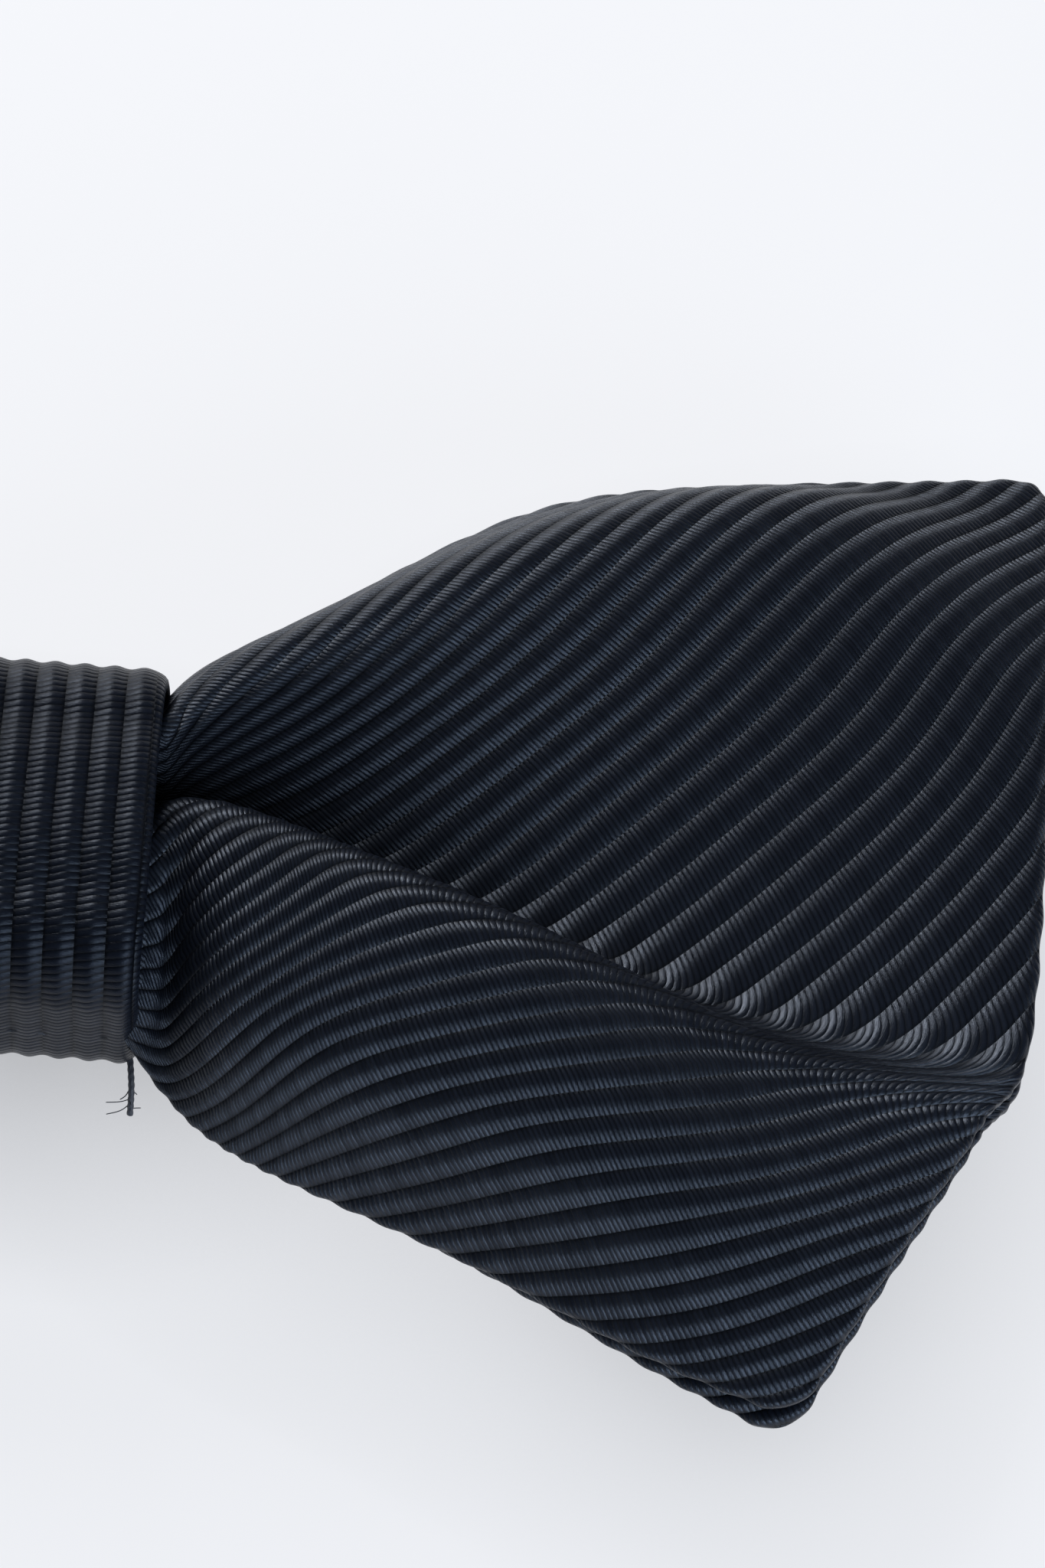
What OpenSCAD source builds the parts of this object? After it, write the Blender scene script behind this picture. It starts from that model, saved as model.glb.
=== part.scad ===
/* [Bow] */
// Length of the bow, from wing end to wing end
bow_l = 128; // [120:1:136]
// Height of the bow at its wings
bow_h = 64; // [60:1:68]
// Thickness of one blade, a tube of cloth pressed flat
blade_t = 2.2; // [2:0.1:2.4]
// Thickness of the cloth itself
cloth_t = 0.5; // [0.4:0.05:0.55]
// Thickness of the canvas inside each blade
canvas_t = 0.8; // [0.6:0.05:0.9]

/* [Knot] */
// Thickness of the knot, front to back
knot_t = 15; // [14.5:0.1:16]
// Thickness of the folded band round the knot
wrap_t = 1.6; // [1.5:0.05:1.7]
// Radius of the band's outer corners
wrap_r = 5; // [4:0.5:6]
// Diameter of the sewing thread
thread_d = 0.5; // [0.3:0.1:0.6]

/* [Clip] */
// Length of the clip's base plate
plate_l = 48; // [44:1:52]
// Width of the base plate, over its ears
plate_w = 10; // [9:0.5:12]
// Thickness of the steel
steel_t = 0.8; // [0.6:0.1:0.9]
// Distance of each hinge pin from the middle
pivot_x = 9; // [8.5:0.5:10]
// Height of the hinge pins above the feet of the plate's ears
pivot_z = 3.2; // [3.1:0.1:3.3]
// Radius of a hinge pin
pin_r = 0.75; // [0.6:0.05:0.8]
// Thickness of the felt patch behind the knot
patch_t = 1; // [0.8:0.1:1.4]

/* [Hidden] */
$fn = 48;
gap = 0.2;
ply_gap = 0.3;
// how far a blade's cloth and its canvas stay inside its rim, in steps between rails
cloth_rim = 0.12;
canvas_rim = 0.16;
clip_h = 6;
knot_w = bow_l * 0.175;
knot_h = bow_h * 0.34375;
knot_z = clip_h + patch_t;
knot_top = knot_z + knot_t;
sx = bow_l / 128;
sy = bow_h / 64;
stack_t = 2 * blade_t + ply_gap;
// the pleats inside the knot: half height, crests and bottoms of the front face
pleat_y = knot_h / 2 - wrap_t - thread_d - 10 * gap;
pleat_high = knot_top - wrap_t - thread_d - 2 * gap;
pleat_low = knot_z + wrap_t + thread_d + 2 * gap + stack_t;

// a rail of the front face: level through the knot, then through the points of the wing
function rail(y, z, wing) =
  concat([[0, y, z], [knot_w / 2 - 0.2, y, z]], [for (p = wing) [p[0] * sx, p[1] * sy, p[2]]]);

// the rails from the wing's lower edge to its upper edge, as x, y and height above the table
lower_edge = rail(-pleat_y, pleat_low,
  [[14, -13.2, 12.3], [18, -16.5, 11.5], [31, -21.4, 10.5], [42, -26.3, 10], [50.4, -29.2, 9.5]]);
lower_side = rail(-4.6 * sy, pleat_high - 1,
  [[14, -9, 17], [18, -10.3, 18.7], [32, -14.5, 17.5], [45, -19, 14.6], [55.1, -20.7, 12]]);
lower_crest = rail(0, pleat_high,
  [[14, 0.5, 20], [18, -0.5, 20.8], [32, -5, 19.9], [47, -9.6, 15.3], [59.8, -11.5, 12.9]]);
valley = rail(2.8 * sy, pleat_low,
  [[14, 3.4, 14.2], [18, 3.2, 13.4], [32, -0.2, 12.4], [47, -3.6, 12.6], [62.6, -5, 12.7]]);
upper_crest = rail(5 * sy, pleat_high,
  [[14, 9, 19.6], [18, 11.8, 20.1], [32, 19, 19], [47, 23.3, 17], [63.6, 19, 14.5]]);
upper_edge = rail(pleat_y, pleat_low,
  [[14, 12.9, 15.3], [18, 15.7, 15.5], [32, 25.9, 14.5], [47, 29.7, 13.5], [63, 32, 13]]);
rails = [lower_edge, lower_side, lower_crest, valley, upper_crest, upper_edge];
last_u = len(lower_edge) - 1;
last_w = len(rails) - 1;
rows = 15;
columns = 18;
// how far the rear blade's lower edge reaches past the front one's
reach = 0.17;
// the knot's middle, which lies a little below the middle of the wings
mid_y = -(face(last_u, last_w)[1] + face(last_u, -reach)[1]) / 2;

navy = [0.08, 0.1, 0.16];
canvas = [0.75, 0.72, 0.65];
thread = [0.12, 0.14, 0.2];
steel = [0.72, 0.73, 0.75];
felt = [0.1, 0.1, 0.12];

// a smooth curve through b and c, with a and d as its neighbours
function between(a, b, c, d, t) =
  0.5 * (2 * b + (c - a) * t + (2 * a - 5 * b + 4 * c - d) * t * t + (3 * b - a - 3 * c + d) * t * t * t);

// the point at place u along a list of points
function along(points, u) =
  let (n = len(points) - 1, i = max(0, min(floor(u), n - 1)), b = points[i], c = points[i + 1])
  let (a = i > 0 ? points[i - 1] : 2 * b - c, d = i < n - 1 ? points[i + 2] : 2 * c - b)
  between(a, b, c, d, u - i);

// the front face at place u along the wing and w across it
function face(u, w) = along([for (r = rails) along(r, u)], w);

// a grid over both wings, lowered by drop, its rims drawn in and its lower edge let out by reach
function wings(drop, rim, reach) = [
  for (i = [-columns:columns], j = [0:rows])
    let (u = abs(i) / columns * (last_u - rim), w = rim + j / rows * (last_w - 2 * rim))
    let (p = face(u, j > 0 ? w : rim - reach * u / last_u))
    [sign(i) * p[0], p[1], p[2] - drop]];

// the triangles of a closed slab between two such grids
function slab_faces(m, n) =
  let (k = m * n)
  concat(
    [for (i = [0:m - 2], j = [0:n - 2]) let (a = i * n + j) each [
      [a, a + 1, a + n + 1], [a, a + n + 1, a + n],
      [k + a, k + a + n + 1, k + a + 1], [k + a, k + a + n, k + a + n + 1]]],
    [for (i = [0:m - 2]) let (a = i * n, b = a + n - 1) each [
      [a, a + n, k + a + n], [a, k + a + n, k + a],
      [b + n, b, k + b], [b + n, k + b, k + b + n]]],
    [for (j = [0:n - 2]) let (a = j, b = (m - 1) * n + j) each [
      [a + 1, a, k + a], [a + 1, k + a, k + a + 1],
      [b, b + 1, k + b + 1], [b, k + b + 1, k + b]]]);

// the knot and the clip are drawn round the origin and moved to the knot's middle
module at_knot() {
  translate([0, mid_y, 0]) children();
}

module slab(top, bottom, rim, reach) {
  at_knot() polyhedron(
    points = concat(wings(top, rim, reach), wings(bottom, rim, reach)),
    faces = slab_faces(2 * columns + 1, rows + 1), convexity = 8);
}

// a blade: cloth all round an empty middle
module blade(drop, reach) {
  difference() {
    slab(drop, drop + blade_t, 0, reach);
    slab(drop + cloth_t, drop + blade_t - cloth_t, cloth_rim, reach);
  }
}

// the canvas that fills a blade
module blade_canvas(drop, reach) {
  middle = drop + blade_t / 2;
  slab(middle - canvas_t / 2, middle + canvas_t / 2, canvas_rim, reach);
}

module front_bow() {
  color(navy) blade(0, 0);
}

module front_bow_interlining() {
  color(canvas) blade_canvas(0, 0);
}

module rear_bow() {
  color(navy) blade(blade_t + ply_gap, reach);
}

module rear_bow_interlining() {
  color(canvas) blade_canvas(blade_t + ply_gap, reach);
}

// a rectangle with round corners, drawn in by a margin
module rounded(w, h, r, margin) {
  x = w / 2 - margin;
  y = h / 2 - margin;
  c = r - margin;
  square([2 * x, 2 * (y - c)], center = true);
  square([2 * (x - c), 2 * y], center = true);
  for (a = [-1, 1], b = [-1, 1]) translate([a * (x - c), b * (y - c)]) circle(c);
}

// a flat ring round the knot, between two margins, as wide as width
module knot_ring(outer, inner, width) {
  translate([0, 0, knot_z + knot_t / 2]) rotate([90, 0, 90])
    linear_extrude(width, center = true) difference() {
      rounded(knot_h, knot_t, wrap_r, outer);
      rounded(knot_h, knot_t, wrap_r, inner);
    }
}

module knot_wrap() {
  color(navy) at_knot() difference() {
    knot_ring(0, wrap_t, knot_w);
    knot_ring(cloth_t, wrap_t - cloth_t, knot_w - 2 * cloth_t);
  }
}

module knot_interlining() {
  color(canvas) at_knot() knot_ring(cloth_t + 0.05, wrap_t - cloth_t - 0.05, knot_w - 4 * cloth_t);
}

module pleat_thread() {
  color(thread) at_knot() for (i = [-2:2]) translate([i * 1.6 * thread_d, 0, 0])
    knot_ring(wrap_t + gap, wrap_t + gap + thread_d, thread_d);
}

module knot_seam_stitches() {
  color(thread) at_knot() for (i = [-4:4]) translate([i * knot_w / 10, 0.35 * knot_h, knot_z - thread_d / 2])
    rotate([90, 0, 20]) cylinder(h = 2.4, d = thread_d, center = true, $fn = 16);
}

tail_r = 5.8;
tail_turn = 27;
tail_end = 26;

// a short arc that leaves the band's lower back corner at the knot's right edge
module thread_tail() {
  start_y = -knot_h / 2 + 0.4;
  start_z = knot_z + 2.4;
  a = tail_end + tail_turn;
  color(thread) at_knot() translate([knot_w / 2 - 0.4, start_y - tail_r * sin(a), start_z + tail_r * cos(a)])
    rotate([tail_end, 0, 0]) rotate([0, 90, 0]) rotate_extrude(angle = tail_turn)
      translate([tail_r, 0]) circle(d = 0.4, $fn = 16);
}

hole_x = 3;
hole_y = 3.2;
hole_r = 0.8;
stitch_r = 0.45;

// something at each of the plate's four sewing holes
module at_holes() {
  for (a = [-1, 1], b = [-1, 1]) translate([a * hole_x, b * hole_y, 0]) children();
}

module clip_patch() {
  color(felt) at_knot() difference() {
    translate([0, 0, clip_h + patch_t / 2]) cube([knot_w - 2, plate_w + 3, patch_t], center = true);
    at_holes() translate([0, 0, clip_h - 1]) cylinder(h = patch_t + 2, r = stitch_r + 0.1);
  }
}

plate_z = clip_h - steel_t;
ear_half = 2.4;
lever_ear_r = 1.6;
bore_fit = 0.04;
bore_r = pin_r + bore_fit;

// a plate's ear, seen from its side: it stands on a flat foot, and the pin goes through it
module plate_ear() {
  difference() {
    polygon([
      [-ear_half, plate_z - pivot_z], [-ear_half, -1.2], [-ear_half + 0.8, -pivot_z],
      [ear_half - 0.8, -pivot_z], [ear_half, -1.2], [ear_half, plate_z - pivot_z]]);
    circle(bore_r);
  }
}

// a lever's ear, round over the pin
module lever_ear() {
  difference() {
    union() {
      circle(lever_ear_r);
      translate([-lever_ear_r, lever_z - pivot_z]) square([2 * lever_ear_r, pivot_z - lever_z]);
    }
    circle(bore_r);
  }
}

// a flat shape in the upright plane along the clip, thick across it, y from a to b
module upright(a, b) {
  translate([0, b, 0]) rotate([90, 0, 0]) linear_extrude(b - a) children();
}

module clip_base() {
  color(steel) at_knot() difference() {
    union() {
      translate([0, 0, plate_z + steel_t / 2]) cube([plate_l, plate_w, steel_t], center = true);
      for (a = [-1, 1], y = [-plate_w / 2, plate_w / 2 - steel_t])
        translate([a * pivot_x, 0, pivot_z]) upright(y, y + steel_t) plate_ear();
    }
    at_holes() translate([0, 0, plate_z - 1]) cylinder(h = steel_t + 2, r = hole_r);
    for (a = [-1, 1], b = [-1, 1]) translate([a * (plate_l / 2 - 3), b * (plate_w / 2 - 1.6), 0])
      cylinder(h = 3 * clip_h, r = 0.6, center = true);
  }
}

module clip_stitches() {
  color(thread) at_knot() for (a = [-1, 1]) {
    for (b = [-1, 1]) translate([a * hole_x, b * hole_y, plate_z - stitch_r])
      cylinder(h = steel_t + patch_t + stitch_r, r = stitch_r, $fn = 16);
    translate([a * hole_x, 0, plate_z - stitch_r]) rotate([90, 0, 0])
      cylinder(h = 2 * (hole_y + stitch_r), r = stitch_r, center = true, $fn = 16);
  }
}

wire_r = 0.22;
coil_fit = 0.12;
spring_fit = 0.08;
coil_r = pin_r + coil_fit + wire_r;
coil_w = 2.4;
leg_l = 4.2;
lever_w = plate_w - 2 * steel_t - 0.3;
lever_z = pivot_z - coil_r - wire_r - spring_fit - steel_t;
tab_x = 1.4;
bend_x = pivot_x + 3.5;
jaw_x = plate_l / 2 - 0.5;
jaw_z = plate_z - 0.1;

// the lever's strip, seen from its side, drawn for the right-hand jaw
module lever_outline() {
  polygon([
    [tab_x, lever_z], [bend_x, lever_z], [jaw_x, jaw_z - 2], [jaw_x + steel_t, jaw_z - 1.6],
    [jaw_x, jaw_z], [jaw_x - 0.8, jaw_z - 1.4], [bend_x - 0.3, lever_z + steel_t],
    [tab_x, lever_z + steel_t]]);
}

module lever() {
  difference() {
    union() {
      upright(-lever_w / 2, lever_w / 2) lever_outline();
      for (y = [-lever_w / 2, lever_w / 2 - steel_t])
        translate([pivot_x, 0, pivot_z]) upright(y, y + steel_t) lever_ear();
    }
    for (b = [-1, 1]) translate([tab_x + 1.4, b * (lever_w / 2 - 1.4), 0])
      cylinder(h = 3, r = 0.5, center = true);
    translate([(pivot_x + tab_x) / 2 - 0.4, 0, 0]) cylinder(h = 3, r = 1.3, center = true);
    for (y = [-2:2]) translate([jaw_x, y * lever_w / 5 + lever_w / 10, jaw_z])
      rotate([0, 90, 0]) cylinder(h = 4, r = 0.45, center = true, $fn = 24);
  }
}

module clip_lever_right() {
  color(steel) at_knot() lever();
}

module clip_lever_left() {
  color(steel) at_knot() mirror([1, 0, 0]) lever();
}

module pin() {
  translate([pivot_x, 0, pivot_z]) rotate([90, 0, 0]) {
    cylinder(h = plate_w + 0.1, r = pin_r, center = true);
    for (a = [-1, 1]) translate([0, 0, a * (plate_w / 2 + 0.3)])
      cylinder(h = 0.5, r = pin_r + 0.4, center = true);
  }
}

module hinge_pin_right() {
  color(steel) at_knot() pin();
}

module hinge_pin_left() {
  color(steel) at_knot() mirror([1, 0, 0]) pin();
}

// a closed coil round the pin, with one leg under the plate and one on the thumb tab
module spring() {
  translate([pivot_x, 0, pivot_z]) rotate([90, 0, 0]) difference() {
    cylinder(h = coil_w, r = coil_r + wire_r, center = true);
    cylinder(h = coil_w + 1, r = coil_r - wire_r, center = true);
  }
  for (a = [-1, 1]) translate([pivot_x - leg_l, a * (coil_w / 2 - wire_r), pivot_z + a * coil_r])
    rotate([0, 90, 0]) cylinder(h = leg_l, r = 0.8 * wire_r, $fn = 16);
}

module torsion_spring_right() {
  color(steel) at_knot() spring();
}

module torsion_spring_left() {
  color(steel) at_knot() mirror([1, 0, 0]) spring();
}

front_bow();
front_bow_interlining();
rear_bow();
rear_bow_interlining();
knot_wrap();
knot_interlining();
pleat_thread();
knot_seam_stitches();
thread_tail();
clip_patch();
clip_base();
clip_stitches();
clip_lever_left();
clip_lever_right();
hinge_pin_left();
hinge_pin_right();
torsion_spring_left();
torsion_spring_right();
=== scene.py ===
"""A pre-tied bow tie in ribbed satin with a spring clip behind its knot.

Lengths inside the functions are in millimetres, as on a workshop drawing, and every mesh is
written in metres. +X runs along the bow, +Y to its upper edge and +Z out of its front.
"""

import math

import bmesh
import bpy
import numpy as np
from bpy.props import FloatProperty, FloatVectorProperty, PointerProperty
from mathutils import Matrix, Vector


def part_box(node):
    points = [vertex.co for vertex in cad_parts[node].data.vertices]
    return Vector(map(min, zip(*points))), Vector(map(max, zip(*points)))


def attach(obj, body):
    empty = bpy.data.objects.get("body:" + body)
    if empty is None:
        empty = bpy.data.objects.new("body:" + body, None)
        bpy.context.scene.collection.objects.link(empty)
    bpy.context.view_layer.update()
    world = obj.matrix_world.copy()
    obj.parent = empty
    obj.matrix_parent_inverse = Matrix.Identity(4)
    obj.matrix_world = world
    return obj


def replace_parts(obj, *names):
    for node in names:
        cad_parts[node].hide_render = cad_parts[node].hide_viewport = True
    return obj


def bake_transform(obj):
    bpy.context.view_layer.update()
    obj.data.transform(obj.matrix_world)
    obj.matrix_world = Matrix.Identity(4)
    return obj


bl_info = {
    "name": "Clip-on bow tie",
    "version": (1, 0, 0),
    "blender": (4, 5, 0),
    "location": "View3D > Sidebar > Bow tie",
    "description": "Builds a ribbed satin bow tie and its spring clip",
    "category": "Object",
}

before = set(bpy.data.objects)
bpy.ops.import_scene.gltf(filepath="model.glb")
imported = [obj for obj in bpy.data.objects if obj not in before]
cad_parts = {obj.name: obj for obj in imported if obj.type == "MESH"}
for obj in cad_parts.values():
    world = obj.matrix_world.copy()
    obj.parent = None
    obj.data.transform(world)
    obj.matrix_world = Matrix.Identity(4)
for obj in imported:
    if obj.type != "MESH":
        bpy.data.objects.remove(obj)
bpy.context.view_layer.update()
MM = 0.001


def span(node):
    """The lowest and highest corners of one of the frame's nodes, in millimetres."""
    low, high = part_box(node)
    return np.array(low) / MM, np.array(high) / MM


KNOT_LOW, KNOT_HIGH = span("knot_wrap")
KNOT_MID = (KNOT_LOW + KNOT_HIGH) / 2
KNOT_SIZE = KNOT_HIGH - KNOT_LOW
PIN_LOW, PIN_HIGH = span("hinge_pin_right")
PIVOT = (PIN_LOW + PIN_HIGH) / 2

# the rails of a wing's front face, from its lower to its upper edge: each is a row of points
# from inside the knot to the wing's end, as x, y from the knot's middle, and z
RAILS = np.array(
    [
        [[10.8, -10.6, 14.0], [13.0, -13.2, 12.5], [18.0, -16.4, 11.5],
         [31.0, -21.3, 10.5], [42.0, -26.3, 10.0], [50.2, -29.1, 9.5]],
        [[10.8, -7.5, 17.5], [13.0, -8.5, 16.0], [18.0, -10.3, 18.7],
         [32.0, -14.5, 17.5], [45.0, -19.0, 14.6], [54.8, -20.7, 12.0]],
        [[10.8, 0.0, 19.5], [13.0, 0.8, 19.8], [18.0, -0.5, 20.8],
         [32.0, -5.0, 19.9], [47.0, -9.6, 15.2], [59.8, -11.5, 12.9]],
        [[10.8, 3.0, 14.4], [13.0, 3.4, 14.6], [18.0, 3.2, 13.4],
         [32.0, -0.2, 12.4], [47.0, -3.6, 12.7], [62.6, -5.0, 12.8]],
        [[10.8, 6.5, 19.3], [13.0, 8.8, 19.3], [18.0, 11.8, 20.1],
         [32.0, 19.0, 19.0], [47.0, 23.3, 17.0], [62.9, 19.0, 14.5]],
        [[10.8, 8.6, 15.0], [13.0, 12.4, 15.5], [18.0, 15.6, 15.5],
         [32.0, 25.9, 14.5], [47.0, 29.6, 13.5], [62.5, 32.0, 13.0]],
    ]
)
LAST = RAILS.shape[0] - 1
VALLEY = 3
WING_START = RAILS[0, 0, 0]
# thickness of a blade, and the gap between the front blade and the rear one
BLADE_T = 1.9
PLY_GAP = 0.15
FRONT_DEPTH = BLADE_T / 2
REAR_DEPTH = 1.5 * BLADE_T + PLY_GAP
# how far the rear blade reaches past the front one's lower edge at the wing's end, and how far
# it is drawn in behind that edge at the knot, in steps from rail to rail
REAR_REACH, REAR_TUCK = 0.06, 0.17
# how far a blade's border is raised, as a share of its half thickness
EDGE_LIFT = 0.5
# how the ribs run, below and above the valley: shares of the two lengths on the cloth, and how
# much of the rise is that at the wing's end
RISE_SHARE = (1.0, 0.91)
LENGTH_SHARE = (0.676, 0.826)
STIFFNESS = (0.767, 0.507)
# where the lower lobe's ribs turn steep towards the knot, over what length, and by how much
FAN_PLACE, FAN_REACH, FAN_TURN = 20.0, 2.5, 8.7
# over how many steps from rail to rail the ribs turn at the valley, and how many are added at
# the wing's end: they come in from SPREAD_START on, over SPREAD_LENGTH along the cloth
TURN_WIDTH, TURN_SPREAD = 1.2, 0.3
SPREAD_START, SPREAD_LENGTH = 36, 20
# the band: its thickness, the round of the knot's corners, how far its front puffs out, and how
# far across it the rib that the others are counted from lies
BAND_T = 1.6
KNOT_CORNER = 5.0
BAND_PUFF = 0.8
BAND_SHIFT = 9.1
# the canvas inside a blade: its thickness, its distance from the border, which is its mesh's
# spacing too, its rows, and the half thickness that its grid's border is worked out for
CANVAS_T = 0.7
CANVAS_INSET = 1.4
CANVAS_ROWS = 48
CANVAS_HALF = 0.4
# radius of the thread in the plate's stitches and the loose end, how far its holes' middles lie
# in from the stitches' ends, and how far its middle lies above their lowest point
STITCH_R = 0.2
HOLE_INSET, STITCH_DEPTH = 0.45, 0.35
# the camera's aim from the knot's middle line, its distance, and half the floor's side
AIM = (32.03, 7.55, 14.0)
CAMERA_DISTANCE = 355.0
FLOOR_HALF = 1500.0


class BowSizes(bpy.types.PropertyGroup):
    """Sizes of the cloth and its ribs."""

    rib_pitch: FloatProperty(
        name="Rib pitch", description="Distance from one rib to the next",
        default=1.75 * MM, unit="LENGTH")
    rib_height: FloatProperty(
        name="Rib height", description="Height of a rib's crest over its groove",
        default=0.13 * MM, unit="LENGTH")
    thread_pitch: FloatProperty(
        name="Thread pitch", description="Distance between the threads that cross a rib",
        default=0.4 * MM, unit="LENGTH")
    corner: FloatProperty(
        name="Corner radius", description="Rounding of the wing's two outer corners",
        default=2.4 * MM, unit="LENGTH")
    mesh_step: FloatProperty(
        name="Mesh step", description="Spacing of the cloth's mesh",
        default=0.285 * MM, unit="LENGTH")


class Finishes(bpy.types.PropertyGroup):
    """Colours of the cloth, thread and metal."""

    satin: FloatVectorProperty(
        name="Satin", description="Colour of the satin's threads",
        default=(0.0014, 0.0017, 0.0028), size=3, subtype="COLOR")
    # painted highlight: the lighter base colour that the crowns of the satin's threads are painted
    # with
    satin_painted_highlight: FloatVectorProperty(
        name="Satin highlights", description="Colour of the brightest threads",
        default=(0.0056, 0.0074, 0.0128), size=3, subtype="COLOR")
    thread: FloatVectorProperty(
        name="Thread", description="Colour of the sewing thread",
        default=(0.007, 0.009, 0.014), size=3, subtype="COLOR")
    canvas: FloatVectorProperty(
        name="Canvas", description="Colour of the interlining",
        default=(0.55, 0.5, 0.41), size=3, subtype="COLOR")
    felt: FloatVectorProperty(
        name="Felt", description="Colour of the patch behind the knot",
        default=(0.008, 0.0085, 0.011), size=3, subtype="COLOR")
    nickel: FloatVectorProperty(
        name="Nickel", description="Colour of the plated clip",
        default=(0.62, 0.6, 0.56), size=3, subtype="COLOR")


class StageLook(bpy.types.PropertyGroup):
    """The floor, the lights and the camera."""

    floor: FloatVectorProperty(
        name="Floor", description="Colour of the floor",
        default=(0.12, 0.121, 0.124), size=3, subtype="COLOR")
    floor_glow: FloatProperty(
        name="Floor glow", description="Light that comes up through the floor", default=0.8)
    key_power: FloatProperty(
        name="Key light", description="Power of the soft light at the upper left",
        default=7.0, unit="POWER")
    fill_power: FloatProperty(
        name="Fill light", description="Power of the light over the camera",
        default=0.1, unit="POWER")
    front_power: FloatProperty(
        name="Front light", description="Power of the low light in front of the bow",
        default=2.4, unit="POWER")
    world: FloatProperty(
        name="Room light", description="Strength of the light from all around", default=0.07)
    lens: FloatProperty(
        name="Lens", description="Focal length of the camera",
        default=139.0, subtype="DISTANCE_CAMERA")
    elevation: FloatProperty(
        name="Camera height", description="Angle of the camera over the floor",
        default=math.radians(62), subtype="ANGLE")
    roll: FloatProperty(
        name="Camera roll", description="Tilt of the camera about its own line of sight",
        default=math.radians(4.4), subtype="ANGLE")


def settings():
    return bpy.context.scene.bow_tie_sizes


def colours():
    return bpy.context.scene.bow_tie_finishes


# ---------------------------------------------------------------- shapes

def between(a, b, c, d, t):
    """A smooth curve through b and c, with a and d as its neighbours: a cubic in t."""
    return 0.5 * (2 * b + (c - a) * t + (2 * a - 5 * b + 4 * c - d) * t**2
                  + (3 * b - a - 3 * c + d) * t**3)


def through(points, place):
    """The smooth curve through points, which run along axis 0, at each place along them."""
    n = len(points)
    i = np.clip(np.floor(place).astype(int), 0, n - 2)
    ends = np.concatenate([2 * points[:1] - points[1:2], points, 2 * points[-1:] - points[-2:-1]])
    if points.shape[1:-1] == place.shape:
        picked = [np.take_along_axis(ends, (i + k)[None, ..., None], 0)[0] for k in range(4)]
    else:
        picked = [ends[i + k] for k in range(4)]
    return between(*picked, (place - i)[..., None])


def wing_face(u, w):
    """The wing's front face at u along it and w across it: a smooth curve across the rails,
    each of which is a smooth curve through its own points."""
    along = np.stack([through(rail, u) for rail in RAILS])
    return through(along, w)


def unit(v):
    return v / np.maximum(np.linalg.norm(v, axis=-1, keepdims=True), 1e-9)


def run(points, axis):
    """The length along a grid's lines, from 0 at their start: the sum of the steps."""
    steps = np.linalg.norm(np.diff(points, axis=axis), axis=-1)
    return np.concatenate([np.zeros_like(np.take(steps, [0], axis)), np.cumsum(steps, axis)], axis)


def crowded(length, radius, count, turns):
    """count places from 0 to length: even, but within radius of each end they follow
    radius x (1 - cosine), in turns steps, so that a round border gets even facets."""
    arc = radius * (1 - np.cos(np.linspace(0, np.pi / 2, turns + 1)))
    middle = np.linspace(0, 1, count - 2 * turns)[1:-1]
    ends = np.broadcast_to(arc, length.shape + arc.shape)
    inner = radius + (length[..., None] - 2 * radius) * middle
    return np.concatenate([ends, inner, length[..., None] - ends[..., ::-1]], -1)


def ridge(phase):
    """A rib's height, 0 in the groove and 1 on the crest: (1 - cos(2 pi x phase)) / 2."""
    return 0.5 - 0.5 * np.cos(2 * np.pi * phase)


def smooth_step(x):
    x = np.clip(x, 0, 1)
    return x * x * (3 - 2 * x)


def quads(grid):
    """The faces between neighbours of a grid of point numbers, as rows of four."""
    return np.stack([grid[:-1, :-1], grid[1:, :-1], grid[1:, 1:], grid[:-1, 1:]], -1).reshape(-1, 4)


def corners(values):
    """The same four corners of each face, from a grid of values."""
    return np.stack(
        [values[:-1, :-1], values[1:, :-1], values[1:, 1:], values[:-1, 1:]], 2
    ).reshape(-1, 4, values.shape[-1])


def make_piece(name, points, faces, material, weave=None, body="bow"):
    """A smooth mesh object from points in millimetres and rows of four point numbers."""
    mesh = bpy.data.meshes.new(name)
    mesh.vertices.add(len(points))
    mesh.vertices.foreach_set("co", (points * MM).astype(np.float32).ravel())
    mesh.loops.add(faces.size)
    mesh.loops.foreach_set("vertex_index", faces.astype(np.int32).ravel())
    mesh.polygons.add(len(faces))
    mesh.polygons.foreach_set("loop_start", np.arange(0, faces.size, 4, dtype=np.int32))
    mesh.update(calc_edges=True)
    mesh.shade_smooth()
    if weave is not None:
        mesh.uv_layers.new(name="weave").data.foreach_set("uv", weave.astype(np.float32).ravel())
    mesh.materials.append(material)
    piece = bpy.data.objects.new(name, mesh)
    bpy.context.scene.collection.objects.link(piece)
    if body:
        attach(piece, body)
    return piece


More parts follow.
